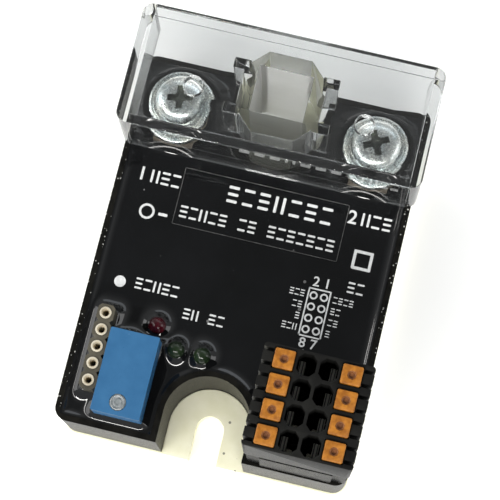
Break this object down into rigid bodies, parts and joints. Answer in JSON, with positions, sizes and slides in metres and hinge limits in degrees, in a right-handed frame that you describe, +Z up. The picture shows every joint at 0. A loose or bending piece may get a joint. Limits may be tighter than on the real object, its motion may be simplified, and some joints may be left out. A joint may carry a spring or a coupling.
{
  "type": "solid state relay",
  "caption": "Low panel-mount solid state relay: metal base plate, potted black block, two screw terminals under a clear cover, pull-off control plug with push-in clamps.",
  "frame": {"origin": "middle of the underside of the base plate", "axes": "+X across the relay, +Y towards the power terminals, +Z up out of the heatsink"},
  "size_m": [0.0456, 0.062, 0.045],
  "materials": {
    "plate": "nickel-plated, satin",
    "housing": "moulded, fine sparkle",
    "gel": "soft fill",
    "resin": "glossy cast resin",
    "ceramic": "metallised ceramic",
    "silicon": "polished",
    "copper": "tinned copper strip",
    "brass": "machined",
    "board": "green lacquer",
    "chip": "moulded",
    "beige": "dipped",
    "relay_blue": "moulded blue",
    "olive": "moulded",
    "tin": "tinned",
    "red_lens": "tinted lens",
    "green_lens": "tinted lens",
    "film": "thin film",
    "plug_black": "moulded",
    "orange": "moulded",
    "zinc": "zinc plated",
    "clear": "clear moulded"
  },
  "bodies": {
    "relay_body": {"base_plate": "plate", "housing_frame": "housing", "potting_gel": "gel", "potting_resin": "resin", "ceramic_substrate": "ceramic", "thyristor_die_1": "silicon", "thyristor_die_2": "silicon", "busbar_1": "copper", "busbar_2": "copper", "terminal_insert_1": "brass", "terminal_insert_2": "brass", "control_board": "board", "opto_driver": "chip", "controller_chip": "chip", "filter_capacitor": "chip", "current_sensor": "beige", "snubber_resistor": "beige", "signal_relay": "relay_blue", "socket_strip": "olive", "socket_sleeve_1": "tin", "socket_sleeve_2": "tin", "socket_sleeve_3": "tin", "socket_sleeve_4": "tin", "socket_sleeve_5": "tin", "led_fault": "red_lens", "led_input_1": "green_lens", "led_input_2": "green_lens", "label_film": "film", "x2_header": "plug_black", "header_pin_1": "tin", "header_pin_2": "tin", "header_pin_3": "tin", "header_pin_4": "tin", "header_pin_5": "tin", "header_pin_6": "tin", "header_pin_7": "tin", "header_pin_8": "tin"},
    "cover": {"terminal_cover": "clear"},
    "plug": {"plug_housing": "plug_black", "clamp_contact_1": "tin", "clamp_contact_2": "tin", "clamp_contact_3": "tin", "clamp_contact_4": "tin", "clamp_contact_5": "tin", "clamp_contact_6": "tin", "clamp_contact_7": "tin", "clamp_contact_8": "tin"},
    "button_1": {"release_button_1": "orange"},
    "button_2": {"release_button_2": "orange"},
    "button_3": {"release_button_3": "orange"},
    "button_4": {"release_button_4": "orange"},
    "button_5": {"release_button_5": "orange"},
    "button_6": {"release_button_6": "orange"},
    "button_7": {"release_button_7": "orange"},
    "button_8": {"release_button_8": "orange"},
    "washer_1": {"clamp_washer_1": "zinc"},
    "screw_1": {"terminal_screw_1": "zinc"},
    "washer_2": {"clamp_washer_2": "zinc"},
    "screw_2": {"terminal_screw_2": "zinc"}
  },
  "joints": [
    {"name": "cover_lift", "type": "slide", "parent": "relay_body", "child": "cover", "axis": [0, 0, 1], "range_m": [0, 0.016]},
    {"name": "plug_pull", "type": "slide", "parent": "relay_body", "child": "plug", "axis": [0, 0, 1], "range_m": [0, 0.0125]},
    {"name": "button_press_1", "type": "slide", "parent": "plug", "child": "button_1", "axis": [0, 0, -1], "range_m": [0, 0.0015], "stiffness_N_per_m": 1500, "springref_m": -0.0005},
    {"name": "button_press_2", "type": "slide", "parent": "plug", "child": "button_2", "axis": [0, 0, -1], "range_m": [0, 0.0015], "stiffness_N_per_m": 1500, "springref_m": -0.0005},
    {"name": "button_press_3", "type": "slide", "parent": "plug", "child": "button_3", "axis": [0, 0, -1], "range_m": [0, 0.0015], "stiffness_N_per_m": 1500, "springref_m": -0.0005},
    {"name": "button_press_4", "type": "slide", "parent": "plug", "child": "button_4", "axis": [0, 0, -1], "range_m": [0, 0.0015], "stiffness_N_per_m": 1500, "springref_m": -0.0005},
    {"name": "button_press_5", "type": "slide", "parent": "plug", "child": "button_5", "axis": [0, 0, -1], "range_m": [0, 0.0015], "stiffness_N_per_m": 1500, "springref_m": -0.0005},
    {"name": "button_press_6", "type": "slide", "parent": "plug", "child": "button_6", "axis": [0, 0, -1], "range_m": [0, 0.0015], "stiffness_N_per_m": 1500, "springref_m": -0.0005},
    {"name": "button_press_7", "type": "slide", "parent": "plug", "child": "button_7", "axis": [0, 0, -1], "range_m": [0, 0.0015], "stiffness_N_per_m": 1500, "springref_m": -0.0005},
    {"name": "button_press_8", "type": "slide", "parent": "plug", "child": "button_8", "axis": [0, 0, -1], "range_m": [0, 0.0015], "stiffness_N_per_m": 1500, "springref_m": -0.0005},
    {"name": "washer_lift_1", "type": "slide", "parent": "relay_body", "child": "washer_1", "axis": [0, 0, 1], "range_m": [-0.0021, 0.0028]},
    {"name": "screw_turn_1", "type": "hinge", "parent": "washer_1", "child": "screw_1", "pos_m": [-0.015, 0.0215, 0.0222], "axis": [0, 0, 1], "range_deg": [-1081, 1441]},
    {"name": "washer_lift_2", "type": "slide", "parent": "relay_body", "child": "washer_2", "axis": [0, 0, 1], "range_m": [-0.0021, 0.0028]},
    {"name": "screw_turn_2", "type": "hinge", "parent": "washer_2", "child": "screw_2", "pos_m": [0.015, 0.0215, 0.0222], "axis": [0, 0, 1], "range_deg": [-1081, 1441]}
  ],
  "couplings": [
    {"joint": "screw_turn_1", "follows": "washer_lift_1", "rad_per_m": 8976},
    {"joint": "screw_turn_2", "follows": "washer_lift_2", "rad_per_m": 8976}
  ]
}
